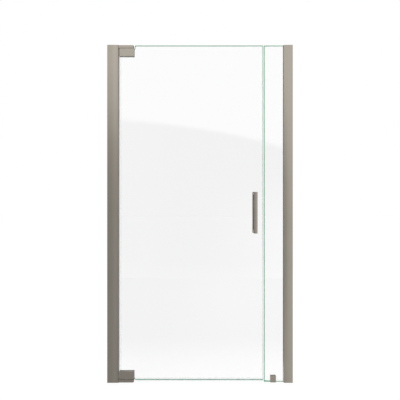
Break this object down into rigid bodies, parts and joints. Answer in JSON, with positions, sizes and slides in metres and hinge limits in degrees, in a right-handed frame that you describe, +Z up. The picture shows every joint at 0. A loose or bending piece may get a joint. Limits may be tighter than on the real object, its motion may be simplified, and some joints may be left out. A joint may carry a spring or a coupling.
{
  "type": "pivot shower door",
  "caption": "Pivot shower door of clear glass beside a narrow fixed panel, between telescoping wall jambs, with corner pivot clamps, back-to-back pulls and a foot bracket.",
  "frame": {"origin": "on the curb, midway between the walls, in the middle of the glass, at the centre of the bottom of the whole unit", "axes": "+X to the right seen from the room, +Y into the shower, +Z up"},
  "size_m": [1.005, 0.084, 1.829],
  "materials": {
    "jamb_metal": "satin nickel anodised",
    "nickel_hardware": "brushed nickel",
    "steel_screws": "plain stainless",
    "clear_glass": "polished, green edges",
    "clear_vinyl": "clear, slightly hazy",
    "white_acetal": "matt white",
    "grey_gasket": "matt grey"
  },
  "bodies": {
    "left_wall_channel": {"wall_channel_left": "jamb_metal"},
    "frame": {"left_lock_screws": "steel_screws", "right_lock_screws": "steel_screws", "left_lock_nuts": "steel_screws", "right_lock_nuts": "steel_screws", "pivot_jamb": "jamb_metal", "pivot_jamb_cap": "jamb_metal", "panel_jamb": "jamb_metal", "panel_jamb_cap": "jamb_metal", "panel_glass": "clear_glass", "panel_front_gasket": "grey_gasket", "panel_rear_gasket": "grey_gasket", "panel_edge_blocks": "grey_gasket", "panel_stop_seal": "clear_vinyl", "panel_base_seals": "clear_vinyl", "foot_bracket": "nickel_hardware", "foot_gasket": "grey_gasket", "foot_set_screws": "steel_screws", "bottom_pivot_arm": "nickel_hardware", "top_pivot_arm": "nickel_hardware", "bottom_arm_screws": "steel_screws", "top_arm_screws": "steel_screws", "bottom_pivot_pin": "steel_screws", "top_pivot_pin": "steel_screws", "bottom_thrust_washer": "white_acetal", "top_thrust_washer": "white_acetal"},
    "door": {"door_glass": "clear_glass", "door_hinge_seal": "clear_vinyl", "door_strike_seal": "clear_vinyl", "door_sweep": "clear_vinyl", "outer_pull": "nickel_hardware", "inner_pull": "nickel_hardware", "pull_studs": "steel_screws", "pull_sleeves": "clear_vinyl", "outer_pull_washers": "clear_vinyl", "inner_pull_washers": "clear_vinyl", "pull_set_screws": "steel_screws", "bottom_pivot_bush": "white_acetal", "bottom_clamp_core": "nickel_hardware", "bottom_front_clamp_plate": "nickel_hardware", "bottom_rear_clamp_plate": "nickel_hardware", "bottom_clamp_gaskets": "grey_gasket", "bottom_clamp_screws": "steel_screws", "top_pivot_bush": "white_acetal", "top_clamp_core": "nickel_hardware", "top_front_clamp_plate": "nickel_hardware", "top_rear_clamp_plate": "nickel_hardware", "top_clamp_gaskets": "grey_gasket", "top_clamp_screws": "steel_screws"},
    "right_wall_channel": {"wall_channel_right": "jamb_metal"}
  },
  "joints": [
    {"name": "left_width_adjust", "type": "slide", "parent": "left_wall_channel", "child": "frame", "axis": [1, 0, 0], "range_m": [0, 0.015]},
    {"name": "door_swing", "type": "hinge", "parent": "frame", "child": "door", "pos_m": [-0.399, 0, 0.9145], "axis": [0, 0, -1], "range_deg": [0, 110]},
    {"name": "right_width_adjust", "type": "slide", "parent": "frame", "child": "right_wall_channel", "axis": [1, 0, 0], "range_m": [0, 0.015]}
  ]
}
